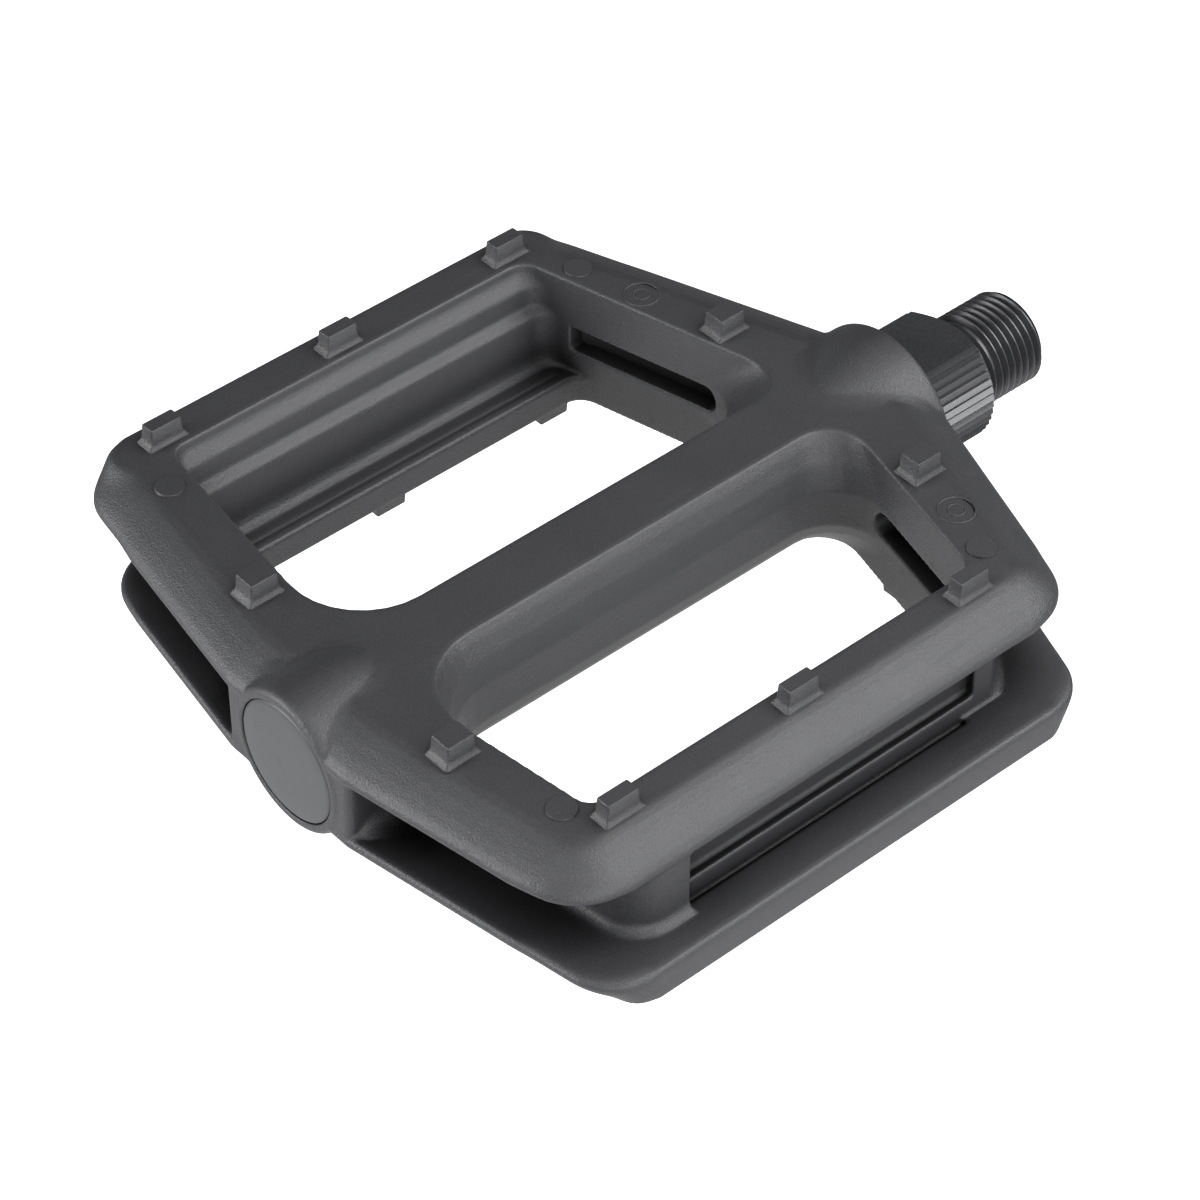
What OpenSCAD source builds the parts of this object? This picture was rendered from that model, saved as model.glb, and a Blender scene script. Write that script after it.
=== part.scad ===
// Flat bicycle pedal for the left crank arm: a ribbed nylon platform that turns on a steel
// spindle in two loose-ball, cup-and-cone bearings. Millimetres, +Z up.
// +X runs along the spindle towards the crank arm. The origin is on the spindle axis, where
// the crank thread begins. The platform looks the same after half a turn about the spindle.

/* [Platform] */
// From the start of the crank thread back to the middle of the platform
body_back = 71.5; // [66:0.5:90]
// From the middle of the platform to its outer end
outer_reach = 50; // [44:0.5:62]
// From the middle of the platform to the crank end of the hub
crank_reach = 56.2; // [50:0.1:68]
// From the spindle axis to the far edge of each plate
far_edge = 54.55; // [46:0.05:68]
// From the spindle axis to the near edge of each plate
near_edge = 49.55; // [42:0.05:62]
// Height of each plate's flat above the spindle axis
flat_h = 10.32; // [10:0.02:14]
// Thickness of each plate, from its underside to its flat
plate_t = 5.62; // [4:0.02:7]
// Height of the upright rim of each plate, below the bevel
rim_t = 2.3; // [1.5:0.1:4]
// Width of the bevel along the near edge
near_bevel = 6.15; // [3:0.05:8]
// Width of the bevels along the outer and crank sides
side_bevel = 7.4; // [3:0.05:8]
// Radius of the plates' corners in plan
corner_r = 8; // [4:0.5:12]
// How far a side leans inwards for each millimetre along the outer end
outer_lean = 0.172; // [0:0.001:0.3]
// How far a side leans inwards for each millimetre along the crank end
crank_lean = 0.355; // [0:0.001:0.4]
// Reach of the outer end's shallow V past its square middle
outer_vertex = 2.05; // [0.5:0.05:3]
// Reach of the crank end's V past its square middle
crank_vertex = 3.6; // [0.5:0.05:4]
// Setback of the middle wall behind the side rims
core_setback = 1.6; // [0.4:0.1:2.5]
// Setback of the middle wall behind the near rim
near_setback = 0.85; // [0.4:0.05:2.5]

/* [Windows and pockets] */
// From the middle to a window's outer side, measured on the spindle axis
window_outer = 37.5; // [32:0.1:42]
// From the middle to a window's crank side, measured on the spindle axis
window_crank = 42.9; // [36:0.1:48]
// Lean of a window's outer side
window_outer_lean = 0.13; // [0:0.01:0.3]
// Lean of a window's crank side
window_crank_lean = 0.25; // [0:0.01:0.4]
// Width of the far bar at its flat
far_bar = 6.35; // [5:0.05:9]
// Width of the near bar, from its rim to the window
near_bar = 10.65; // [8:0.1:14]
// Step inwards from the far bar's flat to the upper ledge
upper_step = 2.2; // [1:0.1:3]
// Step inwards from the upper ledge to the wall
lower_step = 1.6; // [1:0.1:3]
// Depth of the upper ledge below the flat
upper_ledge = 1.9; // [1:0.1:3]
// Depth of the lower ledge below the flat
lower_ledge = 6.4; // [4:0.1:8]
// Height of the foot ledge of the far wall, below the axis
foot_ledge = 5.7; // [4.8:0.1:8]
// Radius of a window's corner beside the outer end of the hub
window_outer_r = 10.5; // [4:0.5:12]
// Radius of a window's corner beside the crank end of the hub
window_crank_r = 5.5; // [3:0.5:8]
// Radius of a window's corners at its far side
window_far_r = 3; // [1:0.5:5]
// Radius of the pockets' corners
pocket_r = 2.2; // [1:0.1:4]
// Thickness of the walls between windows and pockets
web_t = 3.1; // [2:0.1:4]
// Thickness of the far wall behind the recess
far_web_t = 2.6; // [2:0.1:4]
// Half length of the recess along each far bar
recess_half = 24.5; // [15:0.5:30]
// From the spindle axis to the near end of an outer side pocket
outer_pocket_start = 12.3; // [10:0.1:20]
// From the spindle axis to the near end of a crank side pocket
crank_pocket_start = 16; // [14:0.5:22]
// From the spindle axis to the far end of the side pockets
pocket_end = 40; // [30:0.5:44]
// Length of the slot through each crank side wall
slot_len = 24; // [10:1:24]
// Height of that slot
slot_h = 4; // [2:0.1:6]

/* [Grip studs] */
// Height of the studs
stud_h = 3.04; // [1:0.02:5]
// Distance between the studs along a bar
stud_pitch = 30.1; // [20:0.1:32]
// Length of a bar stud's top
stud_len = 4.9; // [3:0.1:8]
// Width of a bar stud's top
stud_w = 2.2; // [1.5:0.1:4]
// Length of a side stud's top
side_stud_len = 4.15; // [3:0.05:6]
// Width of a side stud's top
side_stud_w = 3.3; // [2:0.1:5]
// Flare of a stud's foot on each side
stud_flare = 0.7; // [0:0.1:1.2]
// Setback of the far bar's studs from the rim
far_stud_setback = 3.6; // [2.5:0.02:4]
// Setback of the near bar's studs from the rim
near_stud_setback = 7.91; // [6.5:0.01:9]
// From the spindle axis to the side studs
side_stud_y = 19.6; // [14:0.1:28]
// From a window's crank side to the middle of the stud beside it
crank_stud_offset = 3.9; // [3.5:0.1:6]
// From a window's outer side to the middle of the stud beside it
outer_stud_offset = 4.3; // [3.5:0.1:6]

/* [Spine and hub] */
// Width of the spine's flat
spine_flat = 9.8; // [6:0.1:14]
// Offset of the spine's flat towards the near edge
spine_shift = 0.5; // [0:0.1:2]
// Bore between the two bearings
tube_bore_d = 14.4; // [13:0.1:16]
// Wall of the spine beside that bore
spine_wall = 1.4; // [1.2:0.1:3]
// Wall of the hub round the outer cup
outer_hub_wall = 1.27; // [1:0.01:3]
// Wall of the hub round the inner cup at the crank end
crank_hub_wall = 2; // [1.5:0.1:4]
// Extra swelling of the hub at its outer end
outer_swell = 1.1; // [0:0.1:4]
// Length of the swelling at the outer end
outer_swell_len = 15; // [8:0.5:20]
// Length of the swelling at the crank end
crank_swell_len = 17; // [10:0.5:24]

/* [Bearings] */
// Diameter of the bearing balls, 5/32 in
ball_d = 3.969; // [3:0.001:5]
// Number of balls in the inner bearing
inner_count = 12; // [10:1:14]
// Number of balls in the outer bearing
outer_count = 9; // [7:1:11]
// Free space between neighbouring balls, inner bearing
inner_gap = 0.33; // [0.1:0.01:0.6]
// Free space between neighbouring balls, outer bearing
outer_gap = 0.5; // [0.1:0.01:0.7]
// Running clearance between a ball and its races
ball_clear = 0.05; // [0.01:0.01:0.1]
// Wall of a cup outside the balls
cup_wall = 0.93; // [0.5:0.01:2]
// Wall of the outer cup outside the balls
outer_cup_wall = 0.67; // [0.5:0.01:2]
// Floor of a cup beside the balls
cup_floor = 1; // [0.6:0.1:2]
// Lip of a cup past the ball centres
cup_lip = 2.6; // [2:0.1:4]

/* [Spindle] */
// Diameter of the crank thread, 9/16 in
thread_d = 14.28; // [12:0.01:18]
// Length of the crank thread
thread_len = 9.6; // [8:0.1:16]
// Length of the neck between collar and thread
neck_len = 0.9; // [0.4:0.1:3]
// Diameter of the serrated collar over its teeth
collar_d = 19.8; // [16:0.1:24]
// Length of the collar's cylindrical part
collar_len = 11; // [8:0.1:14]
// Length of the cone on the collar's crank end
collar_cone = 2.6; // [1:0.1:4]
// Diameter of the face that seats on the crank
seat_d = 16.4; // [15:0.1:18]
// Number of serrations round the collar
tooth_count = 50; // [30:1:60]
// Depth of the serrations
tooth_depth = 0.4; // [0.2:0.05:0.8]
// Distance across the two wrench flats
across_flats = 15; // [13:0.1:17]
// Turn of the wrench flats about the axis at rest
flat_turn = 7.7; // [0:0.1:30]
// Relief of the shaft below the inner bearing's balls
shaft_relief = 0.18; // [0.1:0.02:0.6]
// Diameter of the shaft beside the outer bearing
shaft_end_d = 10; // [9:0.1:11]
// Diameter of the outer end's thread, 5/16 in
end_thread_d = 7.94; // [7:0.01:9]
// Length of the lock nut
nut_len = 2.7; // [2:0.1:4]
// Distance across the lock nut's flats
nut_flats = 11; // [10.6:0.1:13]
// Thickness of the lock washer
washer_t = 1; // [0.6:0.1:2]
// Diameter of the lock washer
washer_d = 12.4; // [11.5:0.1:13]
// Width of the keyway and of the washer's tab
key_w = 1.8; // [1:0.1:2.5]
// Depth of the keyway
key_depth = 1; // [0.6:0.1:1.5]
// Length of the cone's round head
cone_head = 4; // [3:0.1:6]

/* [Cap and seal] */
// Thickness of the dust cap's disc
cap_t = 1.6; // [1.2:0.1:3]
// Length of the dust cap's skirt
cap_skirt = 2.5; // [1:0.1:4]
// Wall of the dust cap's skirt
cap_wall = 1.4; // [0.8:0.1:1.6]
// Gap round the dust cap in its bore
cap_gap = 0.02; // [0:0.01:0.05]
// Thickness of the rubber seal
seal_t = 1.2; // [0.8:0.1:2]
// Clearance between parts that turn past each other
turn_gap = 0.4; // [0.3:0.05:0.8]
// Clearance of threads, tabs and seals on the spindle
fit_gap = 0.03; // [0.01:0.01:0.1]

/* [Hidden] */
$fn = 64;
arc_steps = 6;
fade_steps = 8;
big = 200;
stud_span = 20;
over = 0.5;
seal_setback = 0.2;
spine_cover = 0.2;
cup_reserve = 0.6;

ball_r = ball_d / 2;
race_r = ball_r + ball_clear;
inner_pitch_r = inner_count * (ball_d + inner_gap) / (2 * PI);
outer_pitch_r = outer_count * (ball_d + outer_gap) / (2 * PI);
inner_cup_r = inner_pitch_r + ball_r + ball_clear + cup_wall;
outer_cup_r = outer_pitch_r + ball_r + ball_clear + outer_cup_wall;
inner_cup_hole = inner_pitch_r - ball_r * 0.3;
outer_cup_hole = outer_pitch_r - ball_r * 0.3;

plate_low = flat_h - plate_t;
rim_top = plate_low + rim_t;
tube_r = tube_bore_d / 2;
shaft_r = inner_pitch_r - race_r - shaft_relief;
spine_half = tube_r + spine_wall;
window_near_y = flat_h / 2;

// Stations along X, from the middle of the platform
hub_end = crank_reach;
cup_face = hub_end - seal_t - turn_gap - seal_setback;
inner_ball_x = cup_face - cup_lip - cup_reserve;
inner_cup_back = inner_ball_x - race_r - cup_floor;
cap_back = -outer_reach + cap_t;
nut_end = cap_back + turn_gap + 0.1;
nut_face = nut_end + nut_len;
washer_face = nut_face + washer_t;
cone_shoulder = washer_face + cone_head;
outer_ball_x = cone_shoulder + race_r;
outer_cup_back = outer_ball_x + race_r + cup_floor;
cone_end = outer_ball_x + 0.8;
collar_start = body_back - neck_len - collar_cone - collar_len;
seal_face = hub_end - seal_setback / 2;

function unit(v) = v / norm(v);

// Arc that rounds corner p between its neighbours a and b
function corner_arc(a, p, b, r) =
    let (
        to_a = unit(a - p),
        to_b = unit(b - p),
        half = acos(to_a * to_b) / 2,
        centre = p + unit(to_a + to_b) * r / sin(half),
        from = p + to_a * r / tan(half) - centre,
        till = p + to_b * r / tan(half) - centre,
        start = atan2(from.y, from.x),
        turn = (atan2(till.y, till.x) - start + 540) % 360 - 180
    )
    [for (i = [0:arc_steps]) centre + r * [cos(start + turn * i / arc_steps),
                                          sin(start + turn * i / arc_steps)]];

// Polygon with corner i rounded to radii[i]
function rounded(points, radii) =
    let (n = len(points))
    [for (i = [0:n - 1]) each radii[i] == 0
        ? [points[i]]
        : corner_arc(points[(i + n - 1) % n], points[i], points[(i + 1) % n], radii[i])];

function outer_x(y) = -outer_reach - outer_vertex + outer_lean * abs(y);
function crank_x(y) = crank_reach + crank_vertex - crank_lean * abs(y);

// Plan of a plate: far edge at +y, near edge at -y, V-shaped ends cut square at the hub
function outline(far, near, inset, r) = rounded(
    [
        [-outer_reach + inset, -outer_vertex / outer_lean],
        [outer_x(near) + inset, -near],
        [crank_x(near) - inset, -near],
        [crank_reach - inset, -crank_vertex / crank_lean],
        [crank_reach - inset, crank_vertex / crank_lean],
        [crank_x(far) - inset, far],
        [outer_x(far) + inset, far],
        [-outer_reach + inset, outer_vertex / outer_lean]
    ],
    [0, r, r, 0, 0, r, r, 0]
);

function window_outer_x(y) = -window_outer + window_outer_lean * y;
function window_crank_x(y) = window_crank - window_crank_lean * y;

// Plan of the rear window with its far side at y
function window(y, r) = rounded(
    [
        [window_outer_x(window_near_y), window_near_y],
        [window_crank_x(window_near_y), window_near_y],
        [window_crank_x(y), y],
        [window_outer_x(y), y]
    ],
    [window_outer_r, window_crank_r, r, r]
);

// The children and the same turned half a turn about the spindle axis
module both_faces() {
    children();
    rotate([180, 0, 0]) children();
}

module prism(points, low, high) {
    translate([0, 0, low]) linear_extrude(high - low) polygon(points);
}

// Solid of revolution about the X axis from [x, radius] points
module turned(points) {
    rotate([90, 0, 90]) rotate_extrude($fn = 96) polygon([for (p = points) [p.y, p.x]]);
}

module along_x(x, len, r) {
    translate([x, 0, 0]) rotate([0, 90, 0]) cylinder(h = len, r = r, $fn = 96);
}

// Takes off the edge through point p, running at angle a, with its inner side to the left
module bevel_cut(p, a, width) {
    translate([p.x, p.y, rim_top])
        rotate([0, 0, a])
            rotate([atan2(flat_h - rim_top, width), 0, 0])
                translate([-big / 2, -big / 4, 0])
                    cube([big, big / 2, big / 10]);
}

module upper_plate() {
    outer_angle = atan(outer_lean);
    crank_angle = atan(crank_lean);
    difference() {
        prism(outline(far_edge, near_edge, 0, corner_r), plate_low, flat_h);
        bevel_cut([0, -near_edge], 0, near_bevel);
        bevel_cut([outer_x(30), 30], -90 - outer_angle, side_bevel);
        bevel_cut([outer_x(30), -30], -90 + outer_angle, side_bevel);
        bevel_cut([crank_x(30), 30], 90 + crank_angle, side_bevel);
        bevel_cut([crank_x(30), -30], 90 - crank_angle, side_bevel);
    }
}

// Middle wall between the plates, with pockets open to the outside
module core() {
    half_y = near_edge - near_setback;
    wall_y = far_edge - far_bar - upper_step - lower_step;
    difference() {
        prism(outline(half_y, half_y, core_setback, corner_r - 1), -plate_low - over, plate_low + over);
        both_faces() {
            prism([[-recess_half, wall_y + far_web_t], [recess_half, wall_y + far_web_t],
                   [recess_half, far_edge], [-recess_half, far_edge]], -plate_low, plate_low);
            side_pockets();
        }
    }
}

module side_pockets() {
    prism(
        rounded(
            [
                [-big / 2, outer_pocket_start],
                [window_outer_x(outer_pocket_start) - web_t, outer_pocket_start],
                [window_outer_x(pocket_end) - web_t, pocket_end],
                [-big / 2, pocket_end]
            ],
            [0, pocket_r, pocket_r, 0]
        ),
        -plate_low, plate_low
    );
    prism(
        rounded(
            [
                [window_crank_x(crank_pocket_start) + web_t, crank_pocket_start],
                [big / 2, crank_pocket_start],
                [big / 2, pocket_end],
                [window_crank_x(pocket_end) + web_t, pocket_end]
            ],
            [pocket_r, 0, 0, pocket_r]
        ),
        -plate_low, plate_low
    );
}

// Space of the rear window: its far side steps in twice going down, and once more at the foot
module window_space() {
    far_y = far_edge - far_bar;
    ledge_y = far_y - upper_step;
    wall_y = ledge_y - lower_step;
    foot_y = near_edge - near_bar;
    prism(window(far_y, window_far_r), flat_h - upper_ledge, flat_h + over);
    prism(window(ledge_y, window_far_r), flat_h - lower_ledge, flat_h - upper_ledge + over);
    prism(window(wall_y, window_far_r), -foot_ledge, flat_h - lower_ledge + over);
    prism(window(foot_y, window_far_r), -flat_h - over, -foot_ledge + over);
}

module wall_slot() {
    start = crank_pocket_start;
    translate([window_crank_x(start + slot_len) - 4, start, -slot_h / 2])
        cube([16, slot_len - 1, slot_h]);
}

// Stud whose sides flare at the foot; len along X, w along Y
module stud(len, w) {
    foot = stud_h * 0.28;
    draft = 0.15;
    intersection() {
        rotate([90, 0, 0])
            translate([0, 0, -stud_span / 2])
                linear_extrude(stud_span)
                    polygon(stud_profile(len, foot, draft));
        rotate([90, 0, 90])
            translate([0, 0, -stud_span / 2])
                linear_extrude(stud_span)
                    polygon(stud_profile(w, foot, draft));
    }
}

function stud_profile(top, foot, draft) = [
    [-top / 2 - draft - stud_flare, -over],
    [top / 2 + draft + stud_flare, -over],
    [top / 2 + draft + stud_flare, 0],
    [top / 2 + draft, foot],
    [top / 2, stud_h],
    [-top / 2, stud_h],
    [-top / 2 - draft, foot],
    [-top / 2 - draft - stud_flare, 0]
];

module studs() {
    for (i = [-1:1]) {
        translate([i * stud_pitch, far_edge - far_stud_setback, flat_h]) stud(stud_len, stud_w);
        translate([i * stud_pitch, near_stud_setback - near_edge, flat_h]) stud(stud_len, stud_w);
    }
    for (side = [-1, 1]) {
        translate([window_crank_x(side_stud_y) + crank_stud_offset, side * side_stud_y, flat_h])
            stud(side_stud_len, side_stud_w);
        translate([window_outer_x(side_stud_y) - outer_stud_offset, side * side_stud_y, flat_h])
            stud(side_stud_len, side_stud_w);
    }
}

// Ribbed spine round the tube, from hub to hub
module spine() {
    left = -spine_flat / 2 - spine_shift;
    right = spine_flat / 2 - spine_shift;
    translate([-outer_reach + 3, 0, 0])
        rotate([90, 0, 90])
            linear_extrude(outer_reach + crank_reach - 6)
                polygon([[left, flat_h], [-spine_half, flat_h * 0.3], [-spine_half, -flat_h * 0.45],
                         [-right, -flat_h], [-left, -flat_h], [spine_half, -flat_h * 0.3],
                         [spine_half, flat_h * 0.45], [right, flat_h]]);
}

// Eased step from 1 to 0 as t goes from 0 to 1
function ease(t) = (1 + cos(180 * t)) / 2;

// Hub: swells smoothly at both ends to hold the cups and the cap
module hub() {
    outer_low = outer_cup_r + outer_hub_wall;
    crank_high = inner_cup_r + crank_hub_wall;
    crank_low = spine_half - spine_cover;
    turned(concat(
        [[-outer_reach, 0]],
        [for (i = [0:fade_steps]) [-outer_reach + outer_swell_len * i / fade_steps,
                                   outer_low + outer_swell * ease(i / fade_steps)]],
        [[outer_cup_back + 2, outer_low], [outer_cup_back + 6, crank_low]],
        [[inner_cup_back - 8, crank_low]],
        [for (i = [0:fade_steps]) [crank_reach - crank_swell_len * (1 - i / fade_steps),
                                   crank_low + (crank_high - crank_low) * ease(1 - i / fade_steps)]],
        [[crank_reach, 0]]
    ));
}

module pedal_body() {
    color("dimgray")
        translate([-body_back, 0, 0])
            difference() {
                union() {
                    difference() {
                        union() {
                            both_faces() upper_plate();
                            core();
                        }
                        both_faces() {
                            window_space();
                            wall_slot();
                        }
                    }
                    both_faces() studs();
                    spine();
                    hub();
                }
                along_x(-outer_reach - 1, outer_reach + 1 + outer_cup_back, outer_cup_r);
                along_x(outer_cup_back - 1, inner_cup_back - outer_cup_back + 2, tube_r);
                along_x(inner_cup_back, cup_face - inner_cup_back, inner_cup_r);
                along_x(cup_face - 0.01, 10, inner_cup_r + 0.3);
            }
}

// Bearing cup with its floor at back and its balls at ball_x; side is +1 when it opens to +X
module cup(side, ball_x, back, face, outer_r, pitch_r, hole_r) {
    difference() {
        turned([[back, hole_r], [back, outer_r], [face, outer_r], [face, pitch_r + race_r],
                [ball_x, pitch_r + race_r], [ball_x - side * race_r, pitch_r],
                [ball_x - side * race_r, hole_r]]);
        race(ball_x, pitch_r);
    }
}

// Ring that a ball sweeps, with its running clearance
module race(ball_x, pitch_r) {
    rotate([90, 0, 90])
        rotate_extrude($fn = 96)
            translate([pitch_r, ball_x]) circle(r = race_r, $fn = 48);
}

module inner_cup() {
    color("gray")
        translate([-body_back, 0, 0])
            cup(1, inner_ball_x, inner_cup_back, cup_face, inner_cup_r, inner_pitch_r, inner_cup_hole);
}

module outer_cup() {
    color("gray")
        translate([-body_back, 0, 0])
            cup(-1, outer_ball_x, outer_cup_back, outer_ball_x - cup_lip, outer_cup_r,
                outer_pitch_r, outer_cup_hole);
}

module dust_cap() {
    cap_r = outer_cup_r - cap_gap;
    color("slategray")
        translate([-body_back, 0, 0])
            turned([[-outer_reach, 0], [-outer_reach, cap_r], [cap_back + cap_skirt, cap_r],
                    [cap_back + cap_skirt, cap_r - cap_wall], [cap_back, cap_r - cap_wall],
                    [cap_back, 0]]);
}

// Star-shaped section of the serrated collar
function teeth() = [
    for (i = [0:2 * tooth_count - 1])
        (collar_d / 2 - (i % 2) * tooth_depth) * [cos(180 * i / tooth_count), sin(180 * i / tooth_count)]
];

module collar() {
    cone_start = body_back - neck_len - collar_cone;
    difference() {
        intersection() {
            translate([collar_start, 0, 0])
                rotate([0, 90, 0])
                    linear_extrude(collar_len + collar_cone) polygon(teeth());
            turned([[collar_start, 0], [collar_start, collar_d / 2 - 0.5],
                    [collar_start + 0.7, collar_d / 2 + 0.1], [cone_start, collar_d / 2 + 0.1],
                    [body_back - neck_len, seat_d / 2], [body_back - neck_len, 0]]);
        }
        rotate([-flat_turn, 0, 0])
            for (side = [-1, 1])
                translate([collar_start - 1, -big / 2, side > 0 ? across_flats / 2 : -across_flats / 2 - 10])
                    cube([collar_len + 0.8, big, 10]);
    }
}

module spindle() {
    cone_top = inner_pitch_r + 0.15;
    root_r = thread_d / 2 - 0.8;
    color("darkgray")
        translate([-body_back, 0, 0]) {
            difference() {
                turned([
                    [nut_end, 0],
                    [nut_end, end_thread_d / 2 - 0.4],
                    [nut_end + 0.4, end_thread_d / 2],
                    [cone_end + 0.8, end_thread_d / 2],
                    [cone_end + 0.8, shaft_end_d / 2 - 0.4],
                    [outer_cup_back + 4, shaft_end_d / 2],
                    [inner_cup_back - 10, shaft_r],
                    [inner_ball_x, shaft_r],
                    [inner_ball_x + race_r - 0.1, cone_top],
                    [hub_end - seal_t - 0.1, cone_top],
                    [hub_end - seal_t - 0.1, inner_pitch_r - 1],
                    [collar_start + 1, inner_pitch_r - 1],
                    [collar_start + 1, root_r],
                    [body_back, root_r],
                    [body_back, thread_d / 2],
                    [body_back + thread_len - 0.7, thread_d / 2],
                    [body_back + thread_len, thread_d / 2 - 0.7],
                    [body_back + thread_len, 0]
                ]);
                race(inner_ball_x, inner_pitch_r);
                translate([nut_end - 1, -key_w / 2, end_thread_d / 2 - key_depth])
                    cube([cone_shoulder - nut_end + 1, key_w, key_depth + 1]);
            }
            collar();
        }
}

module cone() {
    bore_r = end_thread_d / 2 + fit_gap;
    color("darkgray")
        translate([-body_back, 0, 0])
            difference() {
                turned([[washer_face, bore_r], [washer_face, outer_pitch_r],
                        [outer_ball_x - race_r, outer_pitch_r],
                        [outer_ball_x, outer_pitch_r - race_r],
                        [cone_end, outer_pitch_r - race_r], [cone_end, bore_r]]);
                race(outer_ball_x, outer_pitch_r);
                for (side = [-1, 1])
                    translate([washer_face - 1, side > 0 ? nut_flats / 2 : -nut_flats / 2 - 5, -10])
                        cube([cone_head * 0.6 + 1, 5, 20]);
            }
}

module lock_washer() {
    tab_top = end_thread_d / 2 + fit_gap;
    tab_low = end_thread_d / 2 - key_depth + fit_gap;
    color("silver")
        translate([-body_back, 0, 0]) {
            difference() {
                along_x(nut_face, washer_t, washer_d / 2);
                along_x(nut_face - 1, washer_t + 2, tab_top);
            }
            translate([nut_face, -key_w / 2 + fit_gap, tab_low])
                cube([washer_t, key_w - 2 * fit_gap, tab_top - tab_low + 0.5]);
        }
}

module lock_nut() {
    color("silver")
        translate([-body_back, 0, 0])
            difference() {
                translate([nut_end, 0, 0])
                    rotate([0, 90, 0])
                        cylinder(h = nut_len, r = nut_flats / 2 / cos(30), $fn = 6);
                along_x(nut_end - 1, nut_len + 2, end_thread_d / 2 + fit_gap);
            }
}

module dust_seal() {
    color("black")
        translate([-body_back, 0, 0])
            difference() {
                along_x(seal_face - seal_t, seal_t, inner_cup_r + 0.3 - turn_gap);
                along_x(seal_face - seal_t - 1, seal_t + 2, inner_pitch_r - 1 + fit_gap);
            }
}

module ball_at(x, pitch_r, count, i) {
    color("silver")
        rotate([360 * (i - 1) / count, 0, 0])
            translate([x - body_back, 0, pitch_r])
                sphere(r = ball_r, $fn = 32);
}

module inner_ball(i) {
    ball_at(inner_ball_x, inner_pitch_r, inner_count, i);
}

module outer_ball(i) {
    ball_at(outer_ball_x, outer_pitch_r, outer_count, i);
}

function ball_name(row, i) = str(row, "_ball_", i < 10 ? "0" : "", i);

pedal_body();
dust_cap();
outer_cup();
inner_cup();
spindle();
cone();
lock_washer();
lock_nut();
dust_seal();
for (i = [1:inner_count])
    inner_ball(i);
for (i = [1:outer_count])
    outer_ball(i);
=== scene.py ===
"""Looks of a left flat pedal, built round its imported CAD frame.

The nylon platform, its studs and cap and the crank end of the spindle are modelled here in
millimetres about the middle of the platform, then moved into the shared frame in metres. The
bearings keep their CAD shapes and get their finishes.
"""

import logging
import math
from dataclasses import dataclass, field
from enum import Enum
from typing import Sequence

import bmesh
import bpy
from mathutils import Matrix, Vector


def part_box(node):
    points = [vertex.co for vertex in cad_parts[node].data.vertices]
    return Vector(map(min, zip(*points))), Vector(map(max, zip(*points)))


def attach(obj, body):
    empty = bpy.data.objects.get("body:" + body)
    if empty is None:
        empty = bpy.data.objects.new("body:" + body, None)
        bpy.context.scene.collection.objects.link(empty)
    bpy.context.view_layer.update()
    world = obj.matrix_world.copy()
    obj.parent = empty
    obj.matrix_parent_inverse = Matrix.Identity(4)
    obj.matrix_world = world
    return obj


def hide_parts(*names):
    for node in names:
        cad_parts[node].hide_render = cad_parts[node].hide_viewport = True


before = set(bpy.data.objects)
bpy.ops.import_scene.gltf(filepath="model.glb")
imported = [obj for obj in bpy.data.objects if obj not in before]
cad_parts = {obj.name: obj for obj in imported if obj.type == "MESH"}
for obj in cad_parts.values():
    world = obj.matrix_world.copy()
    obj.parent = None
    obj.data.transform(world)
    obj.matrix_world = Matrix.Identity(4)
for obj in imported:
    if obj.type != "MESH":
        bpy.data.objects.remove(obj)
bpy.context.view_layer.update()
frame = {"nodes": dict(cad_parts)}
MM = 0.001
# How much further the soft far edges reach than the CAD, and how much sooner the thread ends, in mm
FAR_EXTRA = 0.2
THREAD_SHORT = 0.4
LOG = logging.getLogger("pedal")

Point = tuple[float, float, float]
Ring = list[Point]
Profile = Sequence[tuple[float, float]]
Socket = bpy.types.NodeSocket


class Cut(Enum):
    """How one solid changes another."""

    ADD = "UNION"
    REMOVE = "DIFFERENCE"
    KEEP = "INTERSECT"


# ---------------------------------------------------------------- hand tools


def deselect_all() -> None:
    """Leaves nothing selected and no object in edit mode."""
    if bpy.context.object and bpy.context.object.mode != "OBJECT":
        bpy.ops.object.mode_set(mode="OBJECT")
    bpy.ops.object.select_all(action="DESELECT")


def activate(piece: bpy.types.Object) -> None:
    """Makes piece the only selected object, and the active one.

    Args:
        piece: the object that the next operator works on.
    """
    deselect_all()
    piece.select_set(True)
    bpy.context.view_layer.objects.active = piece


def apply_modifier(piece: bpy.types.Object, kind: str, **settings: object) -> None:
    """Adds a modifier with its settings and applies it at once.

    Args:
        piece: the object to change.
        kind: Blender's name for the modifier.
        **settings: the modifier's own properties.
    """
    modifier = piece.modifiers.new(kind.title(), kind)
    for name, value in settings.items():
        setattr(modifier, name, value)
    activate(piece)
    bpy.ops.object.modifier_apply(modifier=modifier.name)


def combine(piece: bpy.types.Object, tools: Sequence[bpy.types.Object], cut: Cut) -> None:
    """Adds each tool to piece, or takes it away, and then deletes the tool.

    Args:
        piece: the solid that stays.
        tools: the solids that shape it.
        cut: what the tools do to it.
    """
    for tool in tools:
        apply_modifier(piece, "BOOLEAN", operation=cut.value, object=tool, solver="MANIFOLD")
        bpy.data.objects.remove(tool)


def face_outwards(piece: bpy.types.Object) -> None:
    """Turns all faces of a closed solid outwards.

    Args:
        piece: the solid.
    """
    activate(piece)
    bpy.ops.object.mode_set(mode="EDIT")
    bpy.ops.mesh.select_all(action="SELECT")
    bpy.ops.mesh.normals_make_consistent(inside=False)
    bpy.ops.object.mode_set(mode="OBJECT")


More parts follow.
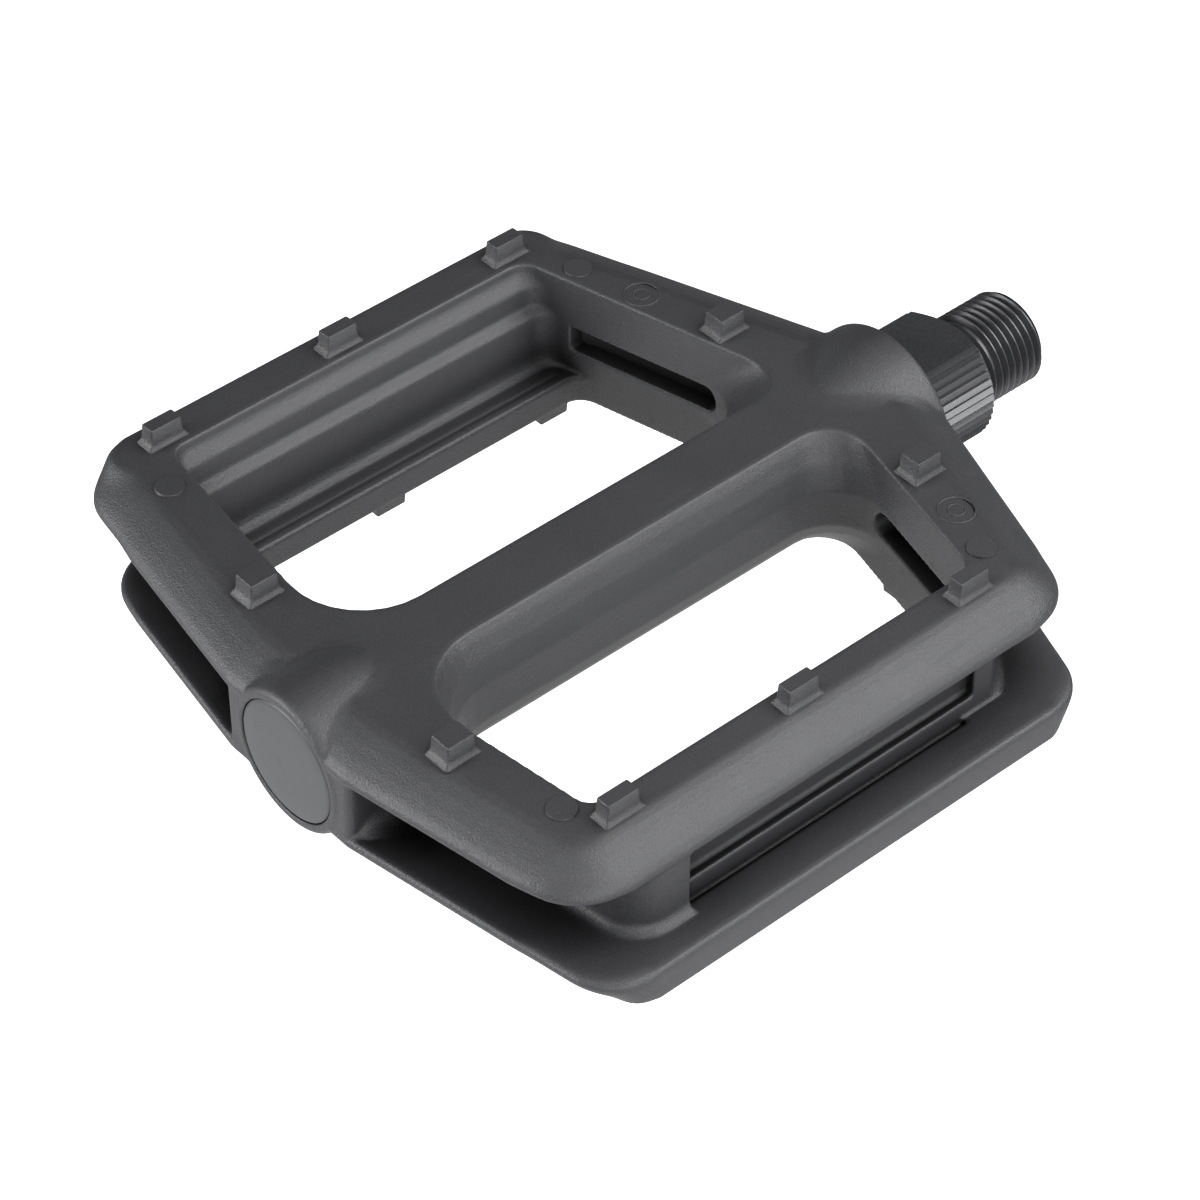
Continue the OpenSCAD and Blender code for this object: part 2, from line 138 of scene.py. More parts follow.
def nearest(place: Vector, ring: Ring) -> int:
    """Finds the point of a ring that lies closest to a place.

    Args:
        place: where to look.
        ring: the points to choose from.

    Returns:
        The index of the closest point.
    """
    return min(range(len(ring)), key=lambda i: (place - Vector(ring[i])).length_squared)


def loft(name: str, rings: Sequence[Ring]) -> bpy.types.Object:
    """Builds a closed solid by extruding a filled ring through further rings.

    Args:
        name: the solid's name.
        rings: rings with equally many points, each in the same order.

    Returns:
        The solid, with its faces outwards.
    """
    deselect_all()
    bpy.ops.mesh.primitive_circle_add(vertices=len(rings[0]), radius=1, fill_type="NGON")
    solid = bpy.context.object
    solid.name = name
    for vertex, place in zip(solid.data.vertices, rings[0]):
        vertex.co = place
    bpy.ops.object.mode_set(mode="EDIT")
    bpy.ops.mesh.select_all(action="SELECT")
    for last, ring in zip(rings, rings[1:]):
        bpy.ops.mesh.extrude_region_move()
        mesh = bmesh.from_edit_mesh(solid.data)
        moved = [vertex for vertex in mesh.verts if vertex.select]
        places = [ring[nearest(vertex.co, last)] for vertex in moved]
        for vertex, place in zip(moved, places):
            vertex.co = place
        bmesh.update_edit_mesh(solid.data)
    bpy.ops.object.mode_set(mode="OBJECT")
    face_outwards(solid)
    return solid


def turned(name: str, profile: Profile, sides: int = 96) -> bpy.types.Object:
    """Turns a solid of revolution about the X axis.

    Args:
        name: the solid's name.
        profile: x and radius pairs from one end to the other, all radii above zero.
        sides: the number of points round each ring.

    Returns:
        The solid.
    """
    rings = []
    for x, radius in profile:
        rings.append([
            (x, radius * math.cos(math.tau * i / sides), radius * math.sin(math.tau * i / sides))
            for i in range(sides)
        ])
    return loft(name, rings)


def raised(name: str, plan: Sequence[Sequence[float]], low: float, high: float) -> bpy.types.Object:
    """Raises a flat outline into an upright solid.

    Args:
        name: the solid's name.
        plan: the outline's points, x and y first.
        low: the height of its foot.
        high: the height of its top.

    Returns:
        The solid.
    """
    return loft(name, [[(point[0], point[1], z) for point in plan] for z in (low, high)])


def block(name: str, low: Point, high: Point) -> bpy.types.Object:
    """Builds a plain block.

    Args:
        name: the block's name.
        low: its lowest corner.
        high: its highest corner.

    Returns:
        The block.
    """
    plan = [(low[0], low[1]), (high[0], low[1]), (high[0], high[1]), (low[0], high[1])]
    return raised(name, plan, low[2], high[2])


def half_turned(piece: bpy.types.Object) -> bpy.types.Object:
    """Copies a solid, turned half a turn about the spindle axis.

    Args:
        piece: the solid to copy.

    Returns:
        The copy, with its own mesh.
    """
    copy = piece.copy()
    copy.data = piece.data.copy()
    bpy.context.scene.collection.objects.link(copy)
    copy.data.transform(Matrix.Rotation(math.pi, 4, "X"))
    return copy


def round_plan(
    corners: Sequence[tuple[float, float]], radii: Sequence[float], steps: int
) -> list[tuple[float, float, float, float]]:
    """Rounds the corners of a flat outline.

    Args:
        corners: the outline's corners, anticlockwise.
        radii: the radius of each corner; 0 leaves it sharp.
        steps: the segments of each rounded corner.

    Returns:
        x, y and the outward direction at each point. The direction at a sharp corner is long
        enough to keep both edges parallel when points move along it.
    """
    points: list[tuple[float, float, float, float]] = []
    count = len(corners)
    for i, corner in enumerate(corners):
        here = Vector(corner)
        back = (Vector(corners[i - 1]) - here).normalized()
        ahead = (Vector(corners[(i + 1) % count]) - here).normalized()
        inward = (back + ahead).normalized()
        half = math.acos(max(-1.0, min(1.0, back.dot(ahead)))) / 2
        if radii[i] == 0:
            out = -inward / math.sin(half)
            points.append((here.x, here.y, out.x, out.y))
            continue
        centre = here + inward * radii[i] / math.sin(half)
        first = here + back * radii[i] / math.tan(half) - centre
        start = math.atan2(first.y, first.x)
        sweep = math.pi - 2 * half
        for step in range(steps + 1):
            angle = start + sweep * step / steps
            out = Vector((math.cos(angle), math.sin(angle)))
            place = centre + out * radii[i]
            points.append((place.x, place.y, out.x, out.y))
    return points


def interpolate(profile: Profile, at: float) -> float:
    """Reads a polyline.

    Args:
        profile: pairs in rising order of their first number.
        at: the first number to look up.

    Returns:
        The second number there, held constant beyond the ends.
    """
    if at <= profile[0][0]:
        return profile[0][1]
    for (a, low), (b, high) in zip(profile, profile[1:]):
        if at <= b:
            return low + (high - low) * (at - a) / (b - a)
    return profile[-1][1]


def ease(t: float) -> float:
    """Gives a smooth step from 0 to 1 as t goes from 0 to 1."""
    t = max(0.0, min(1.0, t))
    return t * t * (3 - 2 * t)


def fade(place: float, zone: tuple[float, float]) -> float:
    """Gives how far a place is into a zone, from 0 before it to 1 beyond, on either side of 0."""
    start, length = zone
    return ease((abs(place) - start) / length)


def into_frame(piece: bpy.types.Object, middle_x: float) -> None:
    """Moves a piece from millimetres about the platform's middle into the shared frame.

    Args:
        piece: the piece, still in millimetres.
        middle_x: where the platform's middle is on X, in metres.
    """
    piece.data.transform(Matrix.Translation((middle_x, 0, 0)) @ Matrix.Scale(MM, 4))
    piece.data.update()


def smooth(piece: bpy.types.Object, degrees: float) -> None:
    """Shades a piece smooth, apart from its sharp edges.

    Args:
        piece: the piece.
        degrees: edges sharper than this stay sharp.
    """
    activate(piece)
    bpy.ops.object.shade_smooth_by_angle(angle=math.radians(degrees))


def join(pieces: Sequence[bpy.types.Object], name: str) -> bpy.types.Object:
    """Joins solids into one object.

    Args:
        pieces: the solids; the first one stays.
        name: the joined object's name.

    Returns:
        The joined object.
    """
    deselect_all()
    for piece in pieces:
        piece.select_set(True)
    bpy.context.view_layer.objects.active = pieces[0]
    bpy.ops.object.join()
    pieces[0].name = name
    pieces[0].data.name = name
    return pieces[0]


def hand_over(
    piece: bpy.types.Object, body: str, node: str, material: bpy.types.Material
) -> None:
    """Dresses a finished piece and ties it to its CAD body and node.

    Args:
        piece: the finished piece.
        body: the CAD body it rides on.
        node: the CAD node it stands for.
        material: its finish.
    """
    piece.data.materials.clear()
    piece.data.materials.append(material)
    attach(piece, body)
    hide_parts(node)
    LOG.info("%s: %d faces", piece.name, len(piece.data.polygons))


# ------------------------------------------------------------------ finishes


class Nodes:
    """Adds and wires shader nodes in one tree."""

    def __init__(self, tree: bpy.types.NodeTree) -> None:
        """Keeps the tree to work in."""
        self.tree = tree

    def add(self, kind: str, **values: object) -> bpy.types.Node:
        """Adds a node.

        Args:
            kind: the node's type name.
            **values: its own properties.

        Returns:
            The node.
        """
        node = self.tree.nodes.new(kind)
        for name, value in values.items():
            setattr(node, name, value)
        return node

    def link(self, source: Socket, target: Socket) -> None:
        """Wires a source socket to a target socket."""
        self.tree.links.new(source, target)

    def math(self, operation: str, a: object, b: object = 0.0) -> Socket:
        """Adds a Math node whose inputs are numbers or sockets.

        Args:
            operation: the Math node's operation.
            a: its first input.
            b: its second input.

        Returns:
            The node's output.
        """
        node = self.add("ShaderNodeMath", operation=operation)
        for index, value in enumerate((a, b)):
            if isinstance(value, Socket):
                self.link(value, node.inputs[index])
            else:
                node.inputs[index].default_value = value
        return node.outputs[0]


def new_group(name: str, inputs: dict[str, float], outputs: Sequence[str]) -> bpy.types.NodeTree:
    """Starts a shader node group.

    Args:
        name: the group's name.
        inputs: its number inputs, with their defaults. A vector input named Vector comes first.
        outputs: the names of its number outputs.

    Returns:
        The group, with its Group Input and Group Output nodes.
    """
    group = bpy.data.node_groups.new(name, "ShaderNodeTree")
    group.interface.new_socket("Vector", in_out="INPUT", socket_type="NodeSocketVector")
    for key, value in inputs.items():
        socket = group.interface.new_socket(key, in_out="INPUT", socket_type="NodeSocketFloat")
        socket.default_value = value
    for key in outputs:
        group.interface.new_socket(key, in_out="OUTPUT", socket_type="NodeSocketFloat")
    group.nodes.new("NodeGroupInput")
    group.nodes.new("NodeGroupOutput")
    return group


def ends(group: bpy.types.NodeTree) -> tuple[bpy.types.Node, bpy.types.Node]:
    """Finds a group's input and output nodes."""
    return group.nodes["Group Input"], group.nodes["Group Output"]


def grain_group() -> bpy.types.NodeTree:
    """Builds the grain of a spark-eroded mould: fine pits with a little coarse unevenness.

    Returns:
        The group. Height feeds a Bump node, and Tone is 0 in pits and 1 on peaks.
    """
    group = new_group("mould_grain", {"Scale": 3000.0, "Coarse": 0.3}, ("Height", "Tone"))
    start, end = ends(group)
    nodes = Nodes(group)
    fine = nodes.add("ShaderNodeTexNoise", noise_dimensions="3D")
    fine.inputs["Detail"].default_value = 2.0
    fine.inputs["Roughness"].default_value = 0.62
    coarse = nodes.add("ShaderNodeTexNoise", noise_dimensions="3D")
    coarse.inputs["Detail"].default_value = 1.0
    nodes.link(start.outputs["Vector"], fine.inputs["Vector"])
    nodes.link(start.outputs["Vector"], coarse.inputs["Vector"])
    nodes.link(start.outputs["Scale"], fine.inputs["Scale"])
    nodes.link(nodes.math("MULTIPLY", start.outputs["Scale"], 0.22), coarse.inputs["Scale"])
    rough = nodes.math("MULTIPLY", coarse.outputs["Fac"], start.outputs["Coarse"])
    nodes.link(nodes.math("ADD", fine.outputs["Fac"], rough), end.inputs["Height"])
    tone = nodes.add("ShaderNodeMapRange")
    tone.inputs["From Min"].default_value = 0.35
    tone.inputs["From Max"].default_value = 0.65
    nodes.link(fine.outputs["Fac"], tone.inputs["Value"])
    nodes.link(tone.outputs["Result"], end.inputs["Tone"])
    return group


def handling_group() -> bpy.types.NodeTree:
    """Builds the slow unevenness that moulding, oil and handling leave on a surface.

    Returns:
        The group. Blotch wanders between 0 and 1, and Scuff marks a few fine streaks.
    """
    group = new_group("handling", {"Scale": 90.0, "Streaks": 420.0}, ("Blotch", "Scuff"))
    start, end = ends(group)
    nodes = Nodes(group)
    cloud = nodes.add("ShaderNodeTexNoise", noise_dimensions="3D")
    cloud.inputs["Detail"].default_value = 4.0
    nodes.link(start.outputs["Vector"], cloud.inputs["Vector"])
    nodes.link(start.outputs["Scale"], cloud.inputs["Scale"])
    nodes.link(cloud.outputs["Fac"], end.inputs["Blotch"])
    stretch = nodes.add("ShaderNodeMapping")
    stretch.inputs["Scale"].default_value = (0.12, 1.0, 1.0)
    nodes.link(start.outputs["Vector"], stretch.inputs["Vector"])
    streak = nodes.add("ShaderNodeTexNoise", noise_dimensions="3D")
    streak.inputs["Detail"].default_value = 3.0
    nodes.link(stretch.outputs["Vector"], streak.inputs["Vector"])
    nodes.link(start.outputs["Streaks"], streak.inputs["Scale"])
    keep = nodes.add("ShaderNodeMapRange")
    keep.inputs["From Min"].default_value = 0.62
    keep.inputs["From Max"].default_value = 0.75
    nodes.link(streak.outputs["Fac"], keep.inputs["Value"])
    nodes.link(keep.outputs["Result"], end.inputs["Scuff"])
    return group


@dataclass(frozen=True)
class Finish:
    """One finish: a base colour that grain and handling vary, with painted light on its sides and painted
    shade in its hollows where set, and its own gloss and relief.
    """

    name: str
    dark: tuple[float, float, float]
    light: tuple[float, float, float]
    roughness: float
    roughness_span: float = 0.08
    metallic: float = 0.0
    specular: float = 0.5
    grain_scale: float = 3000.0
    grain_depth: float = 0.00003
    grain_strength: float = 0.5
    coarse: float = 0.3
    blotch_scale: float = 90.0
    # Calms the grain on the flats, and paints the sides lighter than the flats as painted light
    smooth_flats_and_painted_side_light: bool = False
    flat_relief: float = 1.0
    # Upward share of the normal on a flat, and where a side begins
    flat_normal: float = 0.985
    side_normal: float = 0.9
    # How much grain, handling and a side lighten the tone; the side's share is painted light, standing in for
    # the lamps that catch the bevels and rims
    tone_shares: tuple[float, float, float] = (0.35, 0.2, 0.45)
    # How far the painted shade of hollows reaches, how open a place is where that painted shade is darkest
    # and where it ends, and the tone it leaves there
    painted_shade_reach: float = 0.0
    painted_shade_dark: float = 0.3
    painted_shade_open: float = 0.82
    painted_shade_tone: float = 0.05

    def material(self, groups: dict[str, bpy.types.NodeTree]) -> bpy.types.Material:
        """Builds the finish as a material.

        Args:
            groups: the shared node groups, by name.

        Returns:
            The material.
        """
        material = bpy.data.materials.new(self.name)
        material.use_nodes = True
        material.node_tree.nodes.clear()
        nodes = Nodes(material.node_tree)
        shader = nodes.add("ShaderNodeBsdfPrincipled")
        output = nodes.add("ShaderNodeOutputMaterial")
        nodes.link(shader.outputs["BSDF"], output.inputs["Surface"])
        shader.inputs["Metallic"].default_value = self.metallic
        shader.inputs["Specular IOR Level"].default_value = self.specular
        place = nodes.add("ShaderNodeTexCoord")
        grain = self.group_node(nodes, groups["grain"], place)
        grain.inputs["Scale"].default_value = self.grain_scale
        grain.inputs["Coarse"].default_value = self.coarse
        handling = self.group_node(nodes, groups["handling"], place)
        handling.inputs["Scale"].default_value = self.blotch_scale
        off_flats = self.off_flats(nodes, place)
        self.colour(nodes, shader, grain, handling, off_flats)
        self.gloss(nodes, shader, handling)
        self.relief(nodes, shader, grain, off_flats)
        return material

    def group_node(
        self, nodes: Nodes, group: bpy.types.NodeTree, place: bpy.types.Node
    ) -> bpy.types.Node:
        """Places a shared group in the material, on Object coordinates."""
        node = nodes.add("ShaderNodeGroup", node_tree=group)
        nodes.link(place.outputs["Object"], node.inputs["Vector"])
        return node

    def off_flats(self, nodes: Nodes, place: bpy.types.Node) -> Socket | float:
        """Gives 0 on faces that lie flat in the mould and 1 on its sides, or 1 throughout. The colour uses it
        to paint the sides lighter as painted light, the relief to calm the grain on the flats.
        """
        if not self.smooth_flats_and_painted_side_light:
            return 1.0
        split = nodes.add("ShaderNodeSeparateXYZ")
        nodes.link(place.outputs["Normal"], split.inputs["Vector"])
        away = nodes.add("ShaderNodeMapRange")
        away.inputs["From Min"].default_value = self.flat_normal
        away.inputs["From Max"].default_value = self.side_normal
        nodes.link(nodes.math("ABSOLUTE", split.outputs["Z"]), away.inputs["Value"])
        return away.outputs["Result"]

    def colour(
        self, nodes: Nodes, shader: bpy.types.Node, grain: bpy.types.Node, handling: bpy.types.Node,
        off_flats: Socket | float,
    ) -> None:
        """Mixes the dark and light tones by grain and handling, paints the sides lighter than the flats as
        painted light, and darkens colour and specular in deep hollows as painted shade.
        """
        by_grain, by_handling, painted_side_light = self.tone_shares
        share = nodes.math("MULTIPLY", grain.outputs["Tone"], by_grain)
        share = nodes.math("ADD", share, nodes.math("MULTIPLY", handling.outputs["Blotch"], by_handling))
        # Painted light: the sides get a lighter tone than the flats, by the surface normal
        share = nodes.math("ADD", share, nodes.math("MULTIPLY", off_flats, painted_side_light))
        mix = nodes.add("ShaderNodeMix", data_type="RGBA")
        mix.inputs["A"].default_value = (*self.dark, 1.0)
        mix.inputs["B"].default_value = (*self.light, 1.0)
        nodes.link(share, mix.inputs["Factor"])
        if not self.painted_shade_reach:
            nodes.link(mix.outputs["Result"], shader.inputs["Base Color"])
            return
        # Painted shade: ambient occlusion darkens the colour in hollows, pockets and under overhangs
        depth = nodes.add("ShaderNodeAmbientOcclusion", samples=8)
        depth.inputs["Distance"].default_value = self.painted_shade_reach
        reach = nodes.add("ShaderNodeMapRange")
        reach.inputs["From Min"].default_value = self.painted_shade_dark
        reach.inputs["From Max"].default_value = self.painted_shade_open
        reach.inputs["To Min"].default_value = self.painted_shade_tone
        nodes.link(depth.outputs["AO"], reach.inputs["Value"])
        shade = nodes.add("ShaderNodeVectorMath", operation="SCALE")
        nodes.link(mix.outputs["Result"], shade.inputs[0])
        nodes.link(reach.outputs["Result"], shade.inputs["Scale"])
        nodes.link(shade.outputs["Vector"], shader.inputs["Base Color"])
        # The same painted shade also dims the specular in hollows
        gloss = nodes.math("MULTIPLY", reach.outputs["Result"], self.specular)
        nodes.link(gloss, shader.inputs["Specular IOR Level"])

    def gloss(self, nodes: Nodes, shader: bpy.types.Node, handling: bpy.types.Node) -> None:
        """Varies Roughness with handling, and makes scuffs duller."""
        low = self.roughness - self.roughness_span / 2
        value = nodes.math("MULTIPLY", handling.outputs["Blotch"], self.roughness_span)
        value = nodes.math("ADD", value, low)
        scuff = nodes.math("MULTIPLY", handling.outputs["Scuff"], self.roughness_span)
        nodes.link(nodes.math("ADD", value, scuff), shader.inputs["Roughness"])

    def relief(
        self, nodes: Nodes, shader: bpy.types.Node, grain: bpy.types.Node,
        off_flats: Socket | float,
    ) -> None:
        """Raises the grain, and calms it on the flats."""
        bump = nodes.add("ShaderNodeBump")
        bump.inputs["Distance"].default_value = self.grain_depth
        bump.inputs["Strength"].default_value = self.grain_strength
        share = nodes.math("MULTIPLY", off_flats, 1 - self.flat_relief)
        share = nodes.math("ADD", share, self.flat_relief)
        height = nodes.math("MULTIPLY", grain.outputs["Height"], share)
        nodes.link(height, bump.inputs["Height"])
        nodes.link(bump.outputs["Normal"], shader.inputs["Normal"])


@dataclass
class Finishes:
    """All finishes of the pedal, built once."""

    nylon: bpy.types.Material = field(init=False)
    cap: bpy.types.Material = field(init=False)
    oxide: bpy.types.Material = field(init=False)
    race: bpy.types.Material = field(init=False)
    zinc: bpy.types.Material = field(init=False)
    rubber: bpy.types.Material = field(init=False)
    ball: bpy.types.Material = field(init=False)

    def __post_init__(self) -> None:
        """Builds the shared groups, then each finish."""
        groups = {"grain": grain_group(), "handling": handling_group()}
        # The nylon carries painted light on its sides and painted shade in its hollows
        self.nylon = Finish(
            "nylon_charcoal", (0.014, 0.0143, 0.0157), (0.042, 0.0432, 0.0468), 0.48, 0.1,
            grain_scale=3600, grain_depth=0.00011, grain_strength=0.9, coarse=0.25,
            specular=0.65, smooth_flats_and_painted_side_light=True, flat_relief=0.3, painted_shade_reach=0.011,
        ).material(groups)
        self.cap = Finish(
            "cap_satin", (0.046, 0.048, 0.052), (0.062, 0.0645, 0.069), 0.42, 0.08,
            grain_scale=5200, grain_depth=0.00002, grain_strength=0.35,
        ).material(groups)
        self.oxide = Finish(
            "black_oxide", (0.026, 0.0267, 0.029), (0.050, 0.0515, 0.055), 0.27, 0.10,
            metallic=0.35, specular=0.7, grain_scale=1500, grain_depth=0.000004, grain_strength=0.1,
        ).material(groups)
        self.race = Finish(
            "race_ground", (0.34, 0.34, 0.36), (0.48, 0.48, 0.50), 0.28, 0.1,
            metallic=1.0, grain_scale=1500, grain_depth=0.00001, grain_strength=0.2,
        ).material(groups)
        self.zinc = Finish(
            "zinc_plate", (0.52, 0.53, 0.55), (0.66, 0.66, 0.68), 0.34, 0.1,
            metallic=1.0, grain_scale=1200, grain_depth=0.00001, grain_strength=0.25,
        ).material(groups)
        self.rubber = Finish(
            "seal_rubber", (0.010, 0.010, 0.011), (0.022, 0.022, 0.023), 0.75, 0.1,
            grain_scale=3500, grain_depth=0.00003, grain_strength=0.4,
        ).material(groups)
        self.ball = Finish(
            "ball_polished", (0.66, 0.66, 0.68), (0.76, 0.76, 0.78), 0.09, 0.04,
            metallic=1.0, grain_scale=900, grain_depth=0.000004, grain_strength=0.1,
        ).material(groups)


# ------------------------------------------------------------------ platform


@dataclass
class Platform:
    """The moulded nylon platform. Sizes in millimetres about its middle, +X towards the crank."""

    outer_reach: float
    crank_reach: float
    far_edge: float
    near_edge: float = 49.55
    flat_h: float = 10.32
    plate_low: float = 4.7
    rim_top: float = 6.2
    far_corner_r: float = 8.0
    near_corner_r: float = 9.4
    outer_vertex: float = 2.05
    crank_vertex: float = 3.6
    outer_lean: float = 0.172
    crank_lean: float = 0.355
    outer_bevel: float = 7.3
    crank_bevel: float = 7.8
    near_bevel: float = 6.15
    far_bevel: float = 0.3
    # Rise and inward share of the bevel, which is faintly convex
    bevel: Profile = (
        (-0.15, 0.0), (0.0, 0.02), (0.22, 0.13), (0.45, 0.31), (0.7, 0.56), (0.9, 0.81), (1.0, 1.0),
    )
    rim_foot: Profile = ((0.0, 0.7), (0.2, 0.25), (0.7, 0.0))
    core_setback: float = 3.3
    core_overlap: float = 0.6
    core_half: float = 49.35
    outer_post_r: float = 6.0
    crank_post_r: float = 15.0
    # Radius of the hub at steps from its outer end
    outer_swell: Profile = (
        (0.0, 9.95), (0.15, 10.3), (0.5, 10.6), (1.2, 10.82), (3.0, 11.05), (5.0, 11.25), (7.0, 11.4),
        (9.0, 11.4), (11.0, 11.15), (13.0, 10.7), (15.0, 10.2), (17.0, 9.8),
    )
    # The hub's slim middle, its flare to the crank end, and its lip there, from the end inwards
    waist: Profile = ((-28.0, 8.8), (33.0, 8.8), (36.5, 9.4))
    flare_x: tuple[float, float] = (38.0, 53.0)
    flare_r: tuple[float, float] = (9.8, 13.05)
    flare_steps: int = 12
    crank_lip: Profile = ((0.9, 13.05), (0.35, 12.95), (0.08, 12.75), (0.0, 12.4))
    recess_ends: tuple[float, float] = (-25.0, 31.0)
    recess_step: float = 0.45
    lip_ends: tuple[float, float] = (-24.6, 24.0)
    recess_wall: float = 47.5
    recess_taper: float = 5.0
    recess_depth: float = 1.6
    recess_shelf: float = 2.2
    step_z: float = 5.6
    recess_lip: float = 48.4
    window_outer: float = 37.5
    window_crank: float = 42.9
    window_outer_lean: float = 0.13
    window_crank_lean: float = 0.25
    web: float = 3.1
    outer_pocket: float = 12.4
    cheek_half: float = 12.6
    cheek_top: float = 5.4
    cheek_setback: float = 0.25
    cheek_overlap: float = 2.6
    cheek_r: float = 1.2
    crank_pocket: float = 16.0
    # Radii of the windows' corners, from the outer end of the spine round to the far wall's outer end
    window_radii: tuple[float, float, float, float] = (11.4, 5.6, 3.2, 2.6)
    window_crank_swell: float = 3.6
    groove: tuple[Point, Point] = ((-30.5, 40.35, -6.5), (30.5, 41.0, -5.0))
    slot_ends: tuple[float, float] = (16.0, 40.5)
    slot_half: float = 2.0
    slot_radii: tuple[float, float] = (1.9, 0.4)
    slot_reach: tuple[float, float] = (27.0, 46.0)
    bore_r: float = 9.05
    tube_r: float = 7.2
    mouth_r: float = 11.5
    outer_cup_back: float = -35.1
    inner_cup_back: float = 48.2
    mouth_x: float = 54.4
    mouth_step: float = 0.3
    mouth_bevel: float = 0.35
    beyond: float = 62.0
    # Skins: voxel sizes, smoothing passes, and where the hub and the corners are smoothed more,
    # each as where it sets in and over what length, along the spindle and across
    voxel: float = 0.26
    blend_voxel: float = 0.75
    blend_passes: int = 8
    blend_sink: float = 0.06
    edge_passes: int = 6
    hub_passes: int = 70
    hub_zone: tuple[tuple[float, float], tuple[float, float]] = ((24.0, 8.0), (14.0, 8.0))
    corner_passes: int = 120
    corner_zone: tuple[tuple[float, float], tuple[float, float]] = ((34.2, 3.0), (38.0, 5.0))
    triangles: int = 185000
    # Far side of the rear window at each height: foot lip, ledge, wall and two ridges
    far_wall: Profile = (
        (-12.0, 38.95), (-6.1, 38.95), (-5.72, 39.35), (-5.66, 43.0), (-5.1, 43.9), (-4.1, 44.35),
        (-3.0, 44.45), (2.8, 44.55), (3.2, 44.95), (3.95, 46.0), (4.4, 46.2), (7.0, 46.3),
        (7.4, 46.6), (8.5, 47.6), (9.1, 48.0), (10.32, 48.2), (11.5, 48.2),
    )
    # Near side of the rear window, along the spine
    near_wall: Profile = (
        (-12.0, 5.2), (-10.32, 5.3), (-9.0, 6.2), (-6.5, 7.4), (-3.0, 8.4), (3.0, 8.6),
        (5.2, 8.0), (7.2, 6.7), (9.2, 5.0), (10.1, 4.25), (10.32, 4.1), (11.5, 3.9),
    )

    def outer_x(self, y: float) -> float:
        """Gives the outer end's rim at y."""
        return -self.outer_reach - self.outer_vertex + self.outer_lean * abs(y)

    def crank_x(self, y: float) -> float:
        """Gives the crank end's rim at y."""
        return self.crank_reach + self.crank_vertex - self.crank_lean * abs(y)

    def window_outer_x(self, y: float) -> float:
        """Gives a window's outer side at y."""
        return -self.window_outer + self.window_outer_lean * abs(y)

    def window_crank_x(self, y: float) -> float:
        """Gives a window's crank side at y."""
        return self.window_crank - self.window_crank_lean * abs(y)

    def plan(self, steps: int = 12) -> list[tuple[float, float, float, float]]:
        """Draws the plan of a plate: a blunt V at both ends and round corners.

        Args:
            steps: the segments of each corner.

        Returns:
            Points with their outward directions.
        """
        outer_tip = self.outer_vertex / self.outer_lean
        crank_tip = self.crank_vertex / self.crank_lean
        far, near = self.far_edge, self.near_edge
        return round_plan(
            [
                (-self.outer_reach, -outer_tip), (self.outer_x(near), -near),
                (self.crank_x(near), -near), (self.crank_reach, -crank_tip),
                (self.crank_reach, crank_tip), (self.crank_x(far), far),
                (self.outer_x(far), far), (-self.outer_reach, outer_tip),
            ],
            [0, self.near_corner_r, self.near_corner_r, 0, 0, self.far_corner_r, self.far_corner_r, 0], steps,
        )

    def bevel_width(self, out_x: float, out_y: float) -> float:
        """Gives the bevel's width where the rim faces a direction.

        Args:
            out_x: the outward direction's X part.
            out_y: its Y part.

        Returns:
            The width, blended round the corners and almost nothing along the far edge.
        """
        side = self.outer_bevel if out_x < 0 else self.crank_bevel
        turn = abs(out_y) / math.hypot(out_x, out_y)
        if out_y > 0:
            return side + (self.far_bevel - side) * turn**3
        return side + (self.near_bevel - side) * ease(turn)

    def upper_plate(self) -> bpy.types.Object:
        """Builds the upper plate: soft lower edge, upright rim, bevel and flat."""
        plan = self.plan()
        rise = self.flat_h - self.rim_top
        levels = [(self.plate_low + up, inset, 0.0) for up, inset in self.rim_foot]
        levels += [(self.rim_top + rise * up, 0.0, share) for up, share in self.bevel]
        rings = []
        for z, inset, share in levels:
            ring = []
            for x, y, out_x, out_y in plan:
                move = inset + share * self.bevel_width(out_x, out_y)
                ring.append((x - out_x * move, y - out_y * move, z))
            rings.append(ring)
        return loft("upper_plate", rings)

    def core(self) -> bpy.types.Object:
        """Builds the wall that runs round the windows, between the plates."""
        half = self.core_half
        tip = self.outer_pocket
        root = self.crank_pocket
        outer_tip = self.window_outer_x(tip) - self.web
        outer_corner = self.window_outer_x(half) - self.web
        crank_corner = self.window_crank_x(half) + self.web
        crank_root = self.window_crank_x(root) + self.web
        crank_end = self.crank_reach - self.core_setback
        outer, crank = self.outer_post_r, self.crank_post_r
        plan = round_plan(
            [
                (outer_tip, -tip), (outer_corner, -half), (crank_corner, -half), (crank_root, -root),
                (crank_end, -root), (crank_end, root), (crank_root, root), (crank_corner, half),
                (outer_corner, half), (outer_tip, tip),
            ],
            [0, outer, crank, 0, 0, 0, 0, crank, outer, 0], 12,
        )
        top = self.plate_low + self.core_overlap
        return raised("core", plan, -top, top)

    def hub(self) -> bpy.types.Object:
        """Builds the hub: swollen smoothly at both ends round the bearings."""
        profile = [(step - self.outer_reach, radius) for step, radius in self.outer_swell]
        profile += self.waist
        (start, end), (low, high) = self.flare_x, self.flare_r
        for i in range(self.flare_steps + 1):
            share = i / self.flare_steps
            profile.append((start + (end - start) * share, low + (high - low) * ease(share)))
        profile += [(self.crank_reach - back, radius) for back, radius in self.crank_lip]
        return turned("hub", profile)

